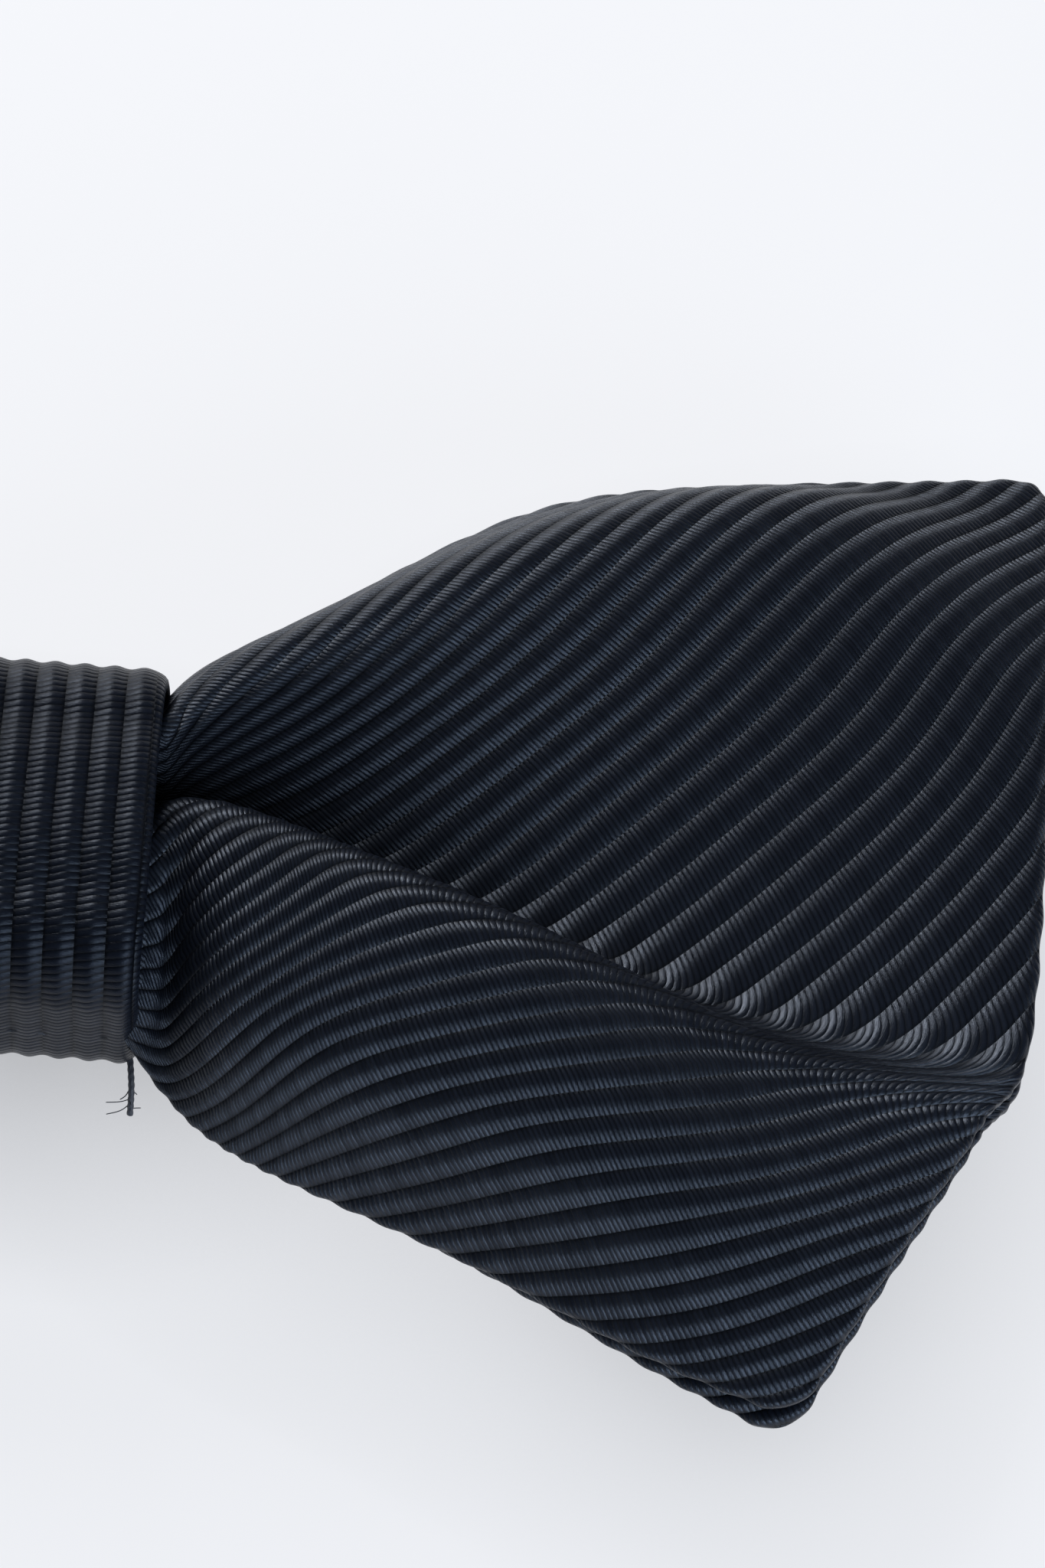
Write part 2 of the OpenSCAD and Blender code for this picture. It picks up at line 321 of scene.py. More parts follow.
class Wing:
    """One wing of a blade: its middle surface, the way out of it and the run of its ribs.

    The middle surface is the wing's front face lowered by depth. A point's distance to the
    border, d, sets how far the two faces stand off it: half x sqrt(1 - (1 - d / half) ^ 2),
    a round edge. Ribs stand along the same round outward direction.
    """

    def __init__(self, side, depth, reach, step, half, rows=None):
        s = settings()
        corner, pitch = s.corner / MM, s.rib_pitch / MM
        turns, inside = 6, 7
        fine_u = np.linspace(0, LAST, 301)
        valley = wing_face(fine_u, np.full_like(fine_u, VALLEY))
        walk = run(valley, 0)
        count = int(walk[-1] / step) + turns
        even = crowded(walk[-1:], half, count + turns, turns)[0][turns:]
        u = np.interp(np.concatenate([[0], even]), walk, fine_u)
        fine_w = np.linspace(-reach, LAST, 241)
        full = wing_face(np.repeat(fine_u[:, None], fine_w.size, 1),
                         np.repeat(fine_w[None], fine_u.size, 0))
        tuck = REAR_TUCK if reach else 0.0
        low = tuck - (tuck + reach) * (u / LAST) ** 2
        grid_w = low[:, None] + (fine_w[None] + reach) / (LAST + reach) * (LAST - low[:, None])
        mesh = wing_face(np.broadcast_to(u[:, None], grid_w.shape), grid_w)
        across = run(mesh, 1)
        rows = rows or int(across[-1, -1] / step) + 2 * turns
        places = crowded(across[:, -1], half, rows, turns)
        w = np.stack([np.interp(p, a, g) for p, a, g in zip(places, across, grid_w)])
        u = np.broadcast_to(u[:, None], w.shape)
        # round the two outer corners: in a corner's square a grid of squares becomes a disc
        points = wing_face(u, w)
        from_knot = run(points, 0)
        to_end = from_knot[-1:] - from_knot
        width = across[:, -1:]
        to_side = np.minimum(places, width - places)
        up = places > width / 2
        x = np.clip(1 - to_end / corner, 0, 1)
        y = np.clip(1 - to_side / corner, 0, 1)
        new_end = corner * (1 - x * np.sqrt(1 - y * y / 2))
        new_side = corner * (1 - y * np.sqrt(1 - x * x / 2))
        new_end = np.where((x > 0) & (y > 0), new_end, to_end)
        new_side = np.where((x > 0) & (y > 0), new_side, to_side)
        step_u = np.maximum(np.gradient(u, axis=0), 1e-9)
        step_w = np.maximum(np.gradient(w, axis=1), 1e-9)
        per_u = np.maximum(np.gradient(from_knot, axis=0) / step_u, 1)
        per_w = np.maximum(np.gradient(places, axis=1) / step_w, 1)
        u = u - (new_end - to_end) / per_u
        w = w + np.where(up, -1, 1) * (new_side - to_side) / per_w
        points = wing_face(u, w)
        du, dw = np.gradient(points, axis=0), np.gradient(points, axis=1)
        normal = unit(np.cross(du, dw))
        a = np.clip(corner - new_end, 0, corner)
        b = np.clip(corner - new_side, 0, corner)
        reach_in = np.hypot(a, b)
        self.border = corner - reach_in
        outward = unit(du) * a[..., None] + unit(dw) * (b * np.where(up, 1, -1))[..., None]
        outward = np.where(reach_in[..., None] > 1e-6, outward, unit(du))
        outward = unit(outward - normal * np.sum(outward * normal, -1, keepdims=True))
        # lengths on the cloth that the ribs follow
        iu = u / LAST * (fine_u.size - 1)
        iw = (w + reach) / (LAST + reach) * (fine_w.size - 1)
        length = lookup(run(full, 0), iu, iw) + WING_START
        rise = run(full, 1)
        at_valley = np.array([np.interp(VALLEY, fine_w, r) for r in rise])
        rise = rise - at_valley[:, None]
        bend = np.where(fine_w < VALLEY, *STIFFNESS)[None]
        rise = (1 - bend) * rise + bend * rise[-1:]
        self.rise = lookup(rise, iu, iw)
        fan = smooth_step((VALLEY - w) / TURN_WIDTH)
        length = length + fan * FAN_TURN / (1 + np.exp((FAN_PLACE - length) / FAN_REACH))
        spread = TURN_WIDTH + TURN_SPREAD * smooth_step((length - SPREAD_START) / SPREAD_LENGTH)
        self.lobe = smooth_step((w - VALLEY + TURN_WIDTH / 2) / spread)
        self.length = length
        self.side, self.half, self.pitch = side, half, pitch
        # the part inside the knot runs straight to the middle
        def grow(v):
            return np.concatenate([np.repeat(v[:1], inside - 1, 0), v])

        knot_x = np.linspace(0, WING_START, inside)[:-1]
        head = np.repeat(points[:1], inside - 1, 0)
        head[..., 0] = knot_x[:, None]
        self.points = np.concatenate([head, points])
        self.normal, self.outward, self.border = grow(normal), grow(outward), grow(self.border)
        self.rise, self.lobe, self.length = grow(self.rise), grow(self.lobe), grow(self.length)
        self.length[: inside - 1] += (knot_x - WING_START)[:, None]
        stand = np.sqrt(1 - np.clip(1 - self.border / half, 0, 1) ** 2)
        sink = depth - half * EDGE_LIFT * (1 - stand)
        self.points = self.points + [0, KNOT_MID[1], 0] - sink[..., None] * [0, 0, 1]

    def weave(self, rise):
        """The ribs' phase and the length along a rib, from the two lengths on the cloth: each
        is a sum of both, in shares that differ between the lobes. Both wings slant one way."""
        up = RISE_SHARE[0] + (RISE_SHARE[1] - RISE_SHARE[0]) * self.lobe
        along = (LENGTH_SHARE[0] + (LENGTH_SHARE[1] - LENGTH_SHARE[0]) * self.lobe) * self.side
        phase = (rise * up - self.length * along) / self.pitch
        wander = (0.05 * np.sin(0.31 * self.length + 1.7)
                  + 0.04 * np.sin(0.43 * rise + 0.9 * self.side))
        return np.stack([phase + wander, rise * along + self.length * up], -1)

    def face(self, tall, sign):
        """The front face (sign 1) or the back (sign -1), with ribs as tall as tall."""
        half = self.half
        bow = np.clip(1 - self.border / half, 0, 1)
        bow[0] = 1
        stand = np.sqrt(1 - bow * bow)
        lift = (sign * (half + tall) * stand)[..., None] * self.normal
        out = (tall * bow)[..., None] * self.outward
        out[0] = 0
        points = self.points + lift + out
        points[..., 0] *= self.side
        return points


def lookup(table, i, j):
    """The values of a table between its rows and columns, weighted by nearness."""
    i = np.clip(i, 0, table.shape[0] - 1.0001)
    j = np.clip(j, 0, table.shape[1] - 1.0001)
    a, b = np.floor(i).astype(int), np.floor(j).astype(int)
    s, t = i - a, j - b
    return ((1 - s) * ((1 - t) * table[a, b] + t * table[a, b + 1])
            + s * ((1 - t) * table[a + 1, b] + t * table[a + 1, b + 1]))


def blade_wing(name, side, depth, reach):
    """A wing as a closed tube of cloth: two faces that share their border. The back has a
    seam along its middle, where the cloth's two edges meet and its ribs turn."""
    s = settings()
    height = s.rib_height / MM
    wing = Wing(side, depth, reach, s.mesh_step / MM, (BLADE_T - height) / 2)
    front_weave = wing.weave(wing.rise)
    folded_low = wing.weave(2 * wing.rise[:, :1] - wing.rise)
    folded_high = wing.weave(2 * wing.rise[:, -1:] - wing.rise)
    rows, cols = wing.rise.shape
    seam = cols // 2
    upper = (np.arange(cols) >= seam)[None, :, None]
    back_weave = np.where(upper, folded_high, folded_low)
    middle = wing.rise - wing.rise[:, seam:seam + 1]
    soft = 0.15 + 0.85 * smooth_step(np.abs(middle) / 1.6)
    tall = height * (ridge(front_weave[..., 0]) - 0.5)
    away = smooth_step(wing.border / 1.5)
    back_tall = tall * (1 - away) + height * (ridge(back_weave[..., 0]) - 0.5) * soft * away
    front, back = wing.face(tall, 1), wing.face(back_tall, -1)
    groove = 0.22 * np.exp(-(middle / 0.35) ** 2) * (wing.border > wing.half)
    back = back + groove[..., None] * wing.normal * [side, 1, 1]
    inner = np.zeros((rows, cols), bool)
    inner[1:-1, 1:-1] = True
    top = np.arange(rows * cols).reshape(rows, cols)
    under = top.copy()
    under[inner] = rows * cols + np.arange(inner.sum())
    points = np.concatenate([front.reshape(-1, 3), back[inner]])
    faces = np.concatenate([quads(top), quads(under)[:, ::-1]])
    beyond = np.broadcast_to(np.arange(cols - 1) >= seam, (rows - 1, cols - 1)).reshape(-1, 1, 1)
    folded = np.where(beyond, corners(folded_high), corners(folded_low))
    weave = np.concatenate([corners(front_weave), folded[:, ::-1]])
    if side < 0:
        faces, weave = faces[:, ::-1], weave[:, ::-1]
    return make_piece(name, points, faces, satin(), weave)


def ring_path(count, inset):
    """A rectangle with round corners in the y-z plane, as the knot's section: four quarter
    circles joined by straight sides, evenly spaced by length. Returns points and the way out."""
    corner = KNOT_CORNER - inset
    half_y, half_z = KNOT_SIZE[1] / 2 - inset - corner, KNOT_SIZE[2] / 2 - inset - corner
    sides = np.array([2 * half_z, corner * math.pi / 2, 2 * half_y, corner * math.pi / 2] * 2)
    stops = np.concatenate([[0], np.cumsum(sides)])
    place = (np.arange(count) + 0.5) / count * stops[-1]
    k = np.searchsorted(stops, place, side="right") - 1
    t = (place - stops[k]) / sides[k]
    quarter = np.array([0, 0, 1, 1, 2, 2, 3, 3])[k]
    angle = (quarter + np.where(k % 2 == 1, t, 0)) * math.pi / 2
    out = np.stack([np.cos(angle), np.sin(angle)], -1)
    # the corners' centres, each met twice: as a side's end and as its own quarter circle
    centres = np.repeat([[1, -1], [1, 1], [-1, 1], [-1, -1]], 2, 0)
    centre_from, centre_to = np.roll(centres, -1, 0)[k], np.roll(centres, -2, 0)[k]
    centre = (centre_from * (1 - t[:, None]) + centre_to * t[:, None]) * [half_y, half_z]
    return centre + corner * out, out, place


def band():
    """The knot's band: a flat tube of cloth carried round the knot. Its section is two straight
    faces and two half-round edges; ribs run round the knot and stand out from the section."""
    s = settings()
    height, pitch = s.rib_height / MM, s.rib_pitch / MM
    half = (BAND_T - height) / 2
    flat = KNOT_SIZE[0] / 2 - BAND_T / 2
    around = 420
    spine, out, place = ring_path(around, BAND_T / 2)
    level = KNOT_SIZE[1] / 2 - KNOT_CORNER
    bulge = np.clip(1 - (spine[:, 0] / level) ** 2, 0, 1) * (out[:, 1] > 0.9)
    spine[:, 1] += BAND_PUFF * smooth_step(bulge)
    straight, turn = 150, 10
    x = np.linspace(-flat, flat, straight)
    arc = np.linspace(0, np.pi, turn + 1)[1:-1]
    section_x = np.concatenate([x, flat + half * np.sin(arc), x[::-1], -flat - half * np.sin(arc)])
    way_x = np.concatenate([0 * x, np.sin(arc), 0 * x, -np.sin(arc)])
    way_out = np.concatenate([0 * x + 1, np.cos(arc), 0 * x - 1, -np.cos(arc)])
    walk = np.concatenate([x, flat + half * arc, 2 * flat + half * np.pi - x[::-1],
                           -flat - half * (np.pi - arc)])
    wander = 0.13 * np.sin(place / 7.3 + 0.6) + 0.05 * np.sin(place / 2.9)
    phase = (walk[None] - BAND_SHIFT + wander[:, None]) / pitch
    tall = height * 1.25 * (ridge(phase) - 0.5)
    waist = 1 - 0.012 * np.sin(place / 5.0)
    stand = (half + tall) * way_out
    points = np.empty(phase.shape + (3,))
    points[..., 0] = section_x * waist[:, None] + tall * way_x
    points[..., 1:] = spine[:, None] + stand[..., None] * out[:, None]
    points += [0, KNOT_MID[1], KNOT_MID[2]]
    number = np.arange(points.shape[0] * points.shape[1]).reshape(points.shape[:2])
    number = np.pad(number, ((0, 1), (0, 1)), mode="wrap")
    total = place[-1] + place[0]
    weave = np.stack([phase, np.broadcast_to(place[:, None], phase.shape)], -1)
    weave = np.concatenate([weave, weave[:1] + [0, total]])
    weave = np.concatenate([weave, weave[:, :1]], 1)
    return make_piece("knot_band", points.reshape(-1, 3), quads(number), satin_band(),
                      corners(weave))


def frames(path):
    """Directions square to a path of points: each is turned from the last by the least angle."""
    ahead = unit(np.gradient(path, axis=0))
    start = np.cross(ahead[0], [0.31, 0.2, 0.93])
    side = [unit(start)]
    for step in ahead[1:]:
        side.append(unit(side[-1] - step * np.dot(side[-1], step)))
    side = np.array(side)
    return side, np.cross(ahead, side)


def strand(path, radius, plies=2, lay=0.9, sides=12, closed_by=0.6):
    """A twisted thread along a path: at angle a round it and length s along it, its radius is
    radius x (0.82 + 0.18 |cos(plies (a - 2 pi s / lay) / 2)|), shrinking to a point at both ends.
    Returns points, faces and the face corners' pattern places."""
    side, up = frames(path)
    s = run(path[:, None], 0)[:, 0]
    a = np.arange(sides) / sides * 2 * np.pi
    turn = plies * (a[None] - 2 * np.pi * s[:, None] / lay) / 2
    r = radius * (0.82 + 0.18 * np.abs(np.cos(turn)))
    end = np.minimum(s, s[-1] - s) / (closed_by * radius)
    r = r * np.sqrt(np.clip(1 - (1 - np.clip(end, 0, 1)) ** 2, 1e-4, 1))[:, None]
    ring = np.cos(a)[None, :, None] * side[:, None] + np.sin(a)[None, :, None] * up[:, None]
    points = path[:, None] + r[..., None] * ring
    number = np.arange(points.shape[0] * sides).reshape(-1, sides)
    number = np.pad(number, ((0, 0), (0, 1)), mode="wrap")
    pattern = np.stack([np.broadcast_to(np.arange(sides + 1) / sides, (len(s), sides + 1)),
                        np.broadcast_to(s[:, None], (len(s), sides + 1))], -1)
    return points.reshape(-1, 3), quads(number)[:, ::-1], corners(pattern)[:, ::-1]


def gather(parts):
    """Several shapes as one: points, faces with their numbers moved on, and patterns."""
    counts = np.cumsum([0] + [len(p[0]) for p in parts])
    return (np.concatenate([p[0] for p in parts]),
            np.concatenate([p[1] + n for p, n in zip(parts, counts)]),
            np.concatenate([p[2] for p in parts]))


def curve(points, count):
    """count points, evenly far apart, on the smooth curve through a few."""
    points = np.array(points, float)
    fine = through(points, np.linspace(0, len(points) - 1, 40 * len(points)))
    walk = run(fine[:, None], 0)[:, 0]
    even = np.linspace(0, walk[-1], count)
    return np.stack([np.interp(even, walk, fine[:, k]) for k in range(3)], 1)


def seam_stitches():
    """Slanted stitches that close the band behind the knot: each is an arch whose ends dive
    into the cloth."""
    low, high = span("knot_seam_stitches")
    y, z = (low[1] + high[1]) / 2, KNOT_LOW[2]
    parts = []
    for i in range(-4, 5):
        x = i * KNOT_SIZE[0] / 10
        lean = 0.42 + 0.05 * math.sin(2.3 * i)
        path = [[x - lean, y - 1.25, z + 0.35], [x - 0.8 * lean, y - 1.0, z - 0.12],
                [x, y, z - 0.3], [x + 0.8 * lean, y + 1.0, z - 0.12],
                [x + lean, y + 1.25, z + 0.35]]
        parts.append(strand(curve(path, 40), 0.22, lay=0.8))
    points, faces, pattern = gather(parts)
    return make_piece("seam_stitches", points, faces, thread(), pattern)


def tail():
    """The sewing thread's loose end: two plies that come apart into fine fibres."""
    low, high = span("thread_tail")
    top = np.array([(low[0] + high[0]) / 2 - 0.3, high[1] + 0.9, high[2] + 0.8])
    tip = np.array([(low[0] + high[0]) / 2, low[1], low[2] + 0.1])
    way = tip - top
    bend = top + 0.5 * way + [0.15, -0.35, 0.2]
    parts = [strand(curve([top, bend, tip], 50), STITCH_R)]
    for i, (x, y, z, long) in enumerate(
            [(0.5, -0.5, -0.3, 1.0), (-0.45, -0.7, 0.1, 1.1), (0.2, -0.9, 0.25, 0.9),
             (-0.9, -0.35, 0.3, 1.5), (-1.3, -0.9, 0.3, 1.0), (0.8, 0.25, -0.2, 0.8)]):
        root = top + way * (0.55 + 0.07 * i)
        mid = root + long * np.array([0.4 * x, 0.6 * y, 0.5 * z])
        end = root + long * np.array([x, y, z])
        parts.append(strand(curve([root, mid, end], 24), 0.035, plies=1, sides=6, closed_by=3.0))
    points, faces, pattern = gather(parts)
    return make_piece("thread_end", points, faces, thread(), pattern)


def clip_stitches():
    """Six strands that hold the clip's plate to the patch: each lies along the plate and dives
    through its two holes."""
    low, high = span("clip_stitches")
    hole_x = high[0] - HOLE_INSET
    y_low, y_high = low[1] + HOLE_INSET, high[1] - HOLE_INSET
    bar, top = low[2] + STITCH_DEPTH, high[2]
    parts = []
    for x in (-hole_x, hole_x):
        for k in (-1, 0, 1):
            off = 0.3 * k
            parts.append(strand(curve(
                [[x + off / 2, y_low, top - 0.1], [x + off / 2, y_low, bar + 0.6],
                 [x + off, y_low + 0.8, bar], [x + 1.3 * off, KNOT_MID[1], bar - 0.06 * (k == 0)],
                 [x + off, y_high - 0.8, bar], [x + off / 2, y_high, bar + 0.6],
                 [x + off / 2, y_high, top - 0.1]], 90), STITCH_R, lay=0.8))
    points, faces, pattern = gather(parts)
    return make_piece("plate_stitches", points, faces, thread(), pattern)


def spring(side):
    """A wound spring: a leg along the plate, turns of a helix round the pin, and a leg along
    the lever's thumb tab. A helix point is pin + coil x (cos a, sin a), moving along y with a."""
    coil, wire, turns, leg = 1.09, 0.21, 4.5, 4.2
    wide = 1.2 - wire
    a = np.linspace(math.pi / 2, math.pi / 2 - turns * 2 * math.pi, 260)
    helix = np.stack([coil * np.cos(a), np.linspace(wide, -wide, a.size), coil * np.sin(a)], 1)
    reach = np.linspace(leg, 0, 24)[:-1, None] * [-1, 0, 0]
    path = np.concatenate([helix[0] + reach, helix, helix[-1] + reach[::-1]])
    path = path * [side, 1, 1] + PIVOT * [side, 1, 1]
    points, faces, pattern = strand(path, wire, plies=0, sides=14, closed_by=1.0)
    name = "right" if side > 0 else "left"
    piece = make_piece("wound_spring_" + name, points, faces, nickel(), pattern,
                       body=None)
    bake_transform(piece)
    return piece


def canvas_wing(side, depth):
    """The canvas inside one wing: the wing's middle surface, thickened."""
    wing = Wing(side, depth, 0, CANVAS_INSET, CANVAS_HALF, rows=CANVAS_ROWS)
    inset = wing.border > CANVAS_INSET
    keep_i = np.where(inset.any(1))[0]
    keep_j = np.where(inset[len(inset) // 2])[0]
    cut = np.ix_(keep_i, keep_j)
    tilt = [side, 1, 1]
    middle, way = wing.points[cut] * tilt, wing.normal[cut] * tilt
    top, low = middle + CANVAS_T / 2 * way, middle - CANVAS_T / 2 * way
    n = top.shape[0] * top.shape[1]
    number = np.arange(n).reshape(top.shape[:2])
    rim = np.concatenate([number[:, 0], number[-1, 1:], number[-2::-1, -1], number[0, -2:0:-1]])
    rim = np.append(rim, rim[0])
    wall = np.stack([rim[:-1] + n, rim[1:] + n, rim[1:], rim[:-1]], 1)
    faces = np.concatenate([quads(number), quads(number)[:, ::-1] + n, wall])
    if side < 0:
        faces = faces[:, ::-1]
    points = np.concatenate([top.reshape(-1, 3), low.reshape(-1, 3)])
    return points, faces, faces[..., None] * [0.0, 0.0]


def eased(node, width, material, body="bow"):
    """One of the frame's nodes with its edges rounded by width: a merged copy with a bevel."""
    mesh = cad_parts[node].data.copy()
    work = bmesh.new()
    work.from_mesh(mesh)
    bmesh.ops.remove_doubles(work, verts=work.verts, dist=2e-6)
    bmesh.ops.dissolve_limit(
        work, angle_limit=math.radians(0.5), verts=work.verts, edges=work.edges)
    bmesh.ops.recalc_face_normals(work, faces=work.faces)
    work.to_mesh(mesh)
    work.free()
    mesh.materials.clear()
    mesh.materials.append(material)
    mesh.shade_smooth()
    piece = bpy.data.objects.new(node + "_finished", mesh)
    bpy.context.scene.collection.objects.link(piece)
    bevel = piece.modifiers.new("eased edges", "BEVEL")
    bevel.width, bevel.segments = width * MM, 2
    bevel.limit_method, bevel.angle_limit = "ANGLE", math.radians(35)
    bevel.harden_normals = True
    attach(piece, body)
    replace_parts(piece, node)
    return piece


# ---------------------------------------------------------------- finishes

class Finish:
    """A material that is put together node by node."""

    def __init__(self, name):
        self.material = bpy.data.materials.new(name)
        self.material.use_nodes = True
        self.tree = self.material.node_tree
        self.surface = next(n for n in self.tree.nodes if n.type == "BSDF_PRINCIPLED")

    def add(self, kind, inputs=(), **options):
        node = self.tree.nodes.new("ShaderNode" + kind)
        for name, value in options.items():
            setattr(node, name, value)
        for key, value in dict(inputs).items():
            self.plug(node.inputs[key], value)
        return node

    def plug(self, socket, value):
        if isinstance(value, bpy.types.NodeSocket):
            self.tree.links.new(value, socket)
        else:
            socket.default_value = value

    def math(self, operation, *values):
        return self.add("Math", enumerate(values), operation=operation).outputs[0]

    def mix(self, share, first, second):
        return self.add("Mix", {0: share, 6: first, 7: second}, data_type="RGBA").outputs[2]

    def noise(self, place, scale, detail=2.0, rough=0.5):
        return self.add("TexNoise", {"Vector": place, "Scale": scale, "Detail": detail,
                                     "Roughness": rough}).outputs[0]

    def ramp(self, value, low, high, to_low=0.0, to_high=1.0):
        return self.add("MapRange", enumerate([value, low, high, to_low, to_high]),
                        interpolation_type="SMOOTHSTEP").outputs[0]

    def vector(self, x, y, z=0.0):
        return self.add("CombineXYZ", enumerate([x, y, z])).outputs[0]

    def bump(self, height, distance):
        self.plug(self.surface.inputs["Normal"], self.add(
            "Bump", {"Height": height, "Distance": distance, "Strength": 1.0}).outputs[0])

    def set(self, **values):
        for name, value in values.items():
            title = name.replace("_", " ").title().replace("Ior", "IOR")
            self.plug(self.surface.inputs[title], value)


def rgba(colour):
    return (*colour, 1.0)


def once(build):
    """The material that build makes, made only the first time it is asked for."""
    def get():
        name = build.__name__ + "_finish"
        return bpy.data.materials.get(name) or build(Finish(name)).material
    return get


def ribbed_satin(f, gloss):
    """Ribbed satin. Across each rib lie threads, each a small ridge of its own, slanted and a
    little uneven. The base colour holds painted light: each thread's crown is painted lighter as a
    painted highlight, with a strength that differs at random from thread to thread, and it falls
    back to painted shade between threads and in the groove between two ribs. Gloss scales the
    highlights."""
    s, c = settings(), colours()
    place = f.add("UVMap", uv_map="weave").outputs[0]
    split = f.add("SeparateXYZ", {0: place}).outputs
    rib = f.math("FRACT", split[0])
    cell = f.math("FLOOR", split[0])
    groove = f.math("ABSOLUTE", f.math("SUBTRACT", f.math("MULTIPLY", rib, 2.0), 1.0))
    start = f.math("MULTIPLY", f.add("TexWhiteNoise", {"Vector": f.vector(cell, 0.37)},
                                     noise_dimensions="2D").outputs[0], 40.0)
    shift = f.math("MULTIPLY_ADD", f.noise(f.vector(start, split[1]), 1.1, 2.0), 0.14, start)
    count = f.math("ADD", f.math("DIVIDE", split[1], s.thread_pitch / MM),
                   f.math("ADD", f.math("MULTIPLY", rib, 0.7), shift))
    part = f.math("FRACT", count)
    edge = f.math("ABSOLUTE", f.math("SUBTRACT", f.math("MULTIPLY", part, 2.0), 1.0))
    round_thread = f.math("SUBTRACT", 1.0, f.math("MULTIPLY", edge, edge))
    chance = f.add("TexWhiteNoise", {"Vector": f.vector(cell, f.math("FLOOR", count))},
                   noise_dimensions="2D").outputs[0]
    along = f.math("MULTIPLY", f.math("ADD", split[1], start), 16.0)
    fibre = f.noise(f.vector(f.math("MULTIPLY", split[0], 7.0), along), 1.0, 2.0, 0.6)
    crown = f.math("SUBTRACT", 1.0, f.math("POWER", groove, 4.0))
    thread_height = f.math("MULTIPLY", round_thread, f.math("MULTIPLY_ADD", chance, 0.2, 0.8))
    height = f.math("MULTIPLY_ADD", crown, 2.0, f.math(
        "MULTIPLY_ADD", fibre, 0.5, thread_height))
    f.bump(height, 0.05 * MM)
    # painted highlight: the base colour is lifted on each thread's crown, at a strength that
    # differs at random, and falls back to the dark satin as painted shade between threads and near
    # the groove
    tone_and_painted_light = f.math("MULTIPLY", f.math("MULTIPLY_ADD", chance, 0.3, 0.7), round_thread)
    tone_and_painted_light = f.math("MULTIPLY", tone_and_painted_light, f.ramp(groove, 0.97, 0.7))
    f.set(base_color=f.mix(tone_and_painted_light, rgba(c.satin), rgba(c.satin_painted_highlight)),
          roughness=f.math("MULTIPLY_ADD", fibre, 0.2, 0.26),
          specular_ior_level=f.math("MULTIPLY_ADD", chance, 0.3 * gloss, 0.6 * gloss),
          ior=1.28, sheen_weight=0.006, sheen_roughness=0.45,
          sheen_tint=(0.55, 0.66, 0.95, 1.0), specular_tint=(0.72, 0.82, 1.0, 1.0))
    return f


@once
def satin(f):
    """The blades' cloth."""
    return ribbed_satin(f, 1.15)


@once
def satin_band(f):
    """The same cloth on the knot, drawn tight and less glossy."""
    return ribbed_satin(f, 0.5)


@once
def thread(f):
    """Polyester sewing thread, with filaments along its plies."""
    split = f.add("SeparateXYZ", {0: f.add("UVMap", uv_map="weave").outputs[0]}).outputs
    round_it, along = f.math("MULTIPLY", split[0], 12.0), f.math("MULTIPLY", split[1], 2.0)
    lines = f.noise(f.vector(round_it, along), 1.0, 3.0, 0.6)
    f.bump(lines, 0.05 * MM)
    f.set(base_color=f.mix(lines, rgba(colours().thread), (0.02, 0.025, 0.04, 1.0)),
          roughness=0.48, specular_ior_level=0.4, sheen_weight=0.2)
    return f


@once
def thread_plain(f):
    """Sewing thread on one of the frame's nodes, which has no pattern places of its own."""
    lines = f.noise(f.add("TexCoord").outputs["Object"], 4000.0, 3.0)
    f.bump(lines, 0.04 * MM)
    f.set(base_color=f.mix(lines, rgba(colours().thread), (0.02, 0.025, 0.04, 1.0)), roughness=0.5)
    return f


@once
def canvas(f):
    """Plain woven canvas: two sets of threads that pass over and under."""
    place = f.add("TexCoord").outputs["Object"]
    split = f.add("SeparateXYZ", {0: place}).outputs
    warp = f.math("SINE", f.math("MULTIPLY", split[0], 9000.0))
    weft = f.math("SINE", f.math("MULTIPLY", split[1], 9000.0))
    weave = f.math("MULTIPLY", warp, weft)
    fuzz = f.noise(place, 2500.0, 3.0)
    f.bump(f.math("ADD", weave, fuzz), 0.06 * MM)
    f.set(base_color=f.mix(fuzz, rgba(colours().canvas), (0.36, 0.32, 0.25, 1.0)),
          roughness=0.9, specular_ior_level=0.2)
    return f


@once
def felt(f):
    """Dense wool felt: matted fibres in every direction."""
    place = f.add("TexCoord").outputs["Object"]
    fibre = f.noise(place, 3200.0, 5.0, 0.7)
    matted = f.noise(place, 700.0, 3.0, 0.6)
    f.bump(f.math("MULTIPLY_ADD", matted, 2.0, fibre), 0.12 * MM)
    f.set(base_color=f.mix(fibre, rgba(colours().felt), (0.03, 0.032, 0.04, 1.0)),
          roughness=0.95, specular_ior_level=0.15, sheen_weight=0.5, sheen_roughness=0.6)
    return f


@once
def nickel(f):
    """Nickel plating on stamped steel: faint rolling lines along x, and a few dull patches."""
    place = f.add("TexCoord").outputs["Object"]
    rolled = f.add("Mapping", {"Vector": place, "Scale": (150.0, 6000.0, 6000.0)}).outputs[0]
    lines = f.noise(rolled, 1.0, 3.0, 0.6)
    patches = f.noise(place, 260.0, 4.0, 0.6)
    f.bump(lines, 0.01 * MM)
    dull = f.ramp(patches, 0.45, 0.7)
    f.set(base_color=f.mix(dull, rgba(colours().nickel), (0.48, 0.455, 0.41, 1.0)), metallic=1.0,
          roughness=f.math("MULTIPLY_ADD", patches, 0.3, f.math("MULTIPLY_ADD", lines, 0.12, 0.08)))
    return f


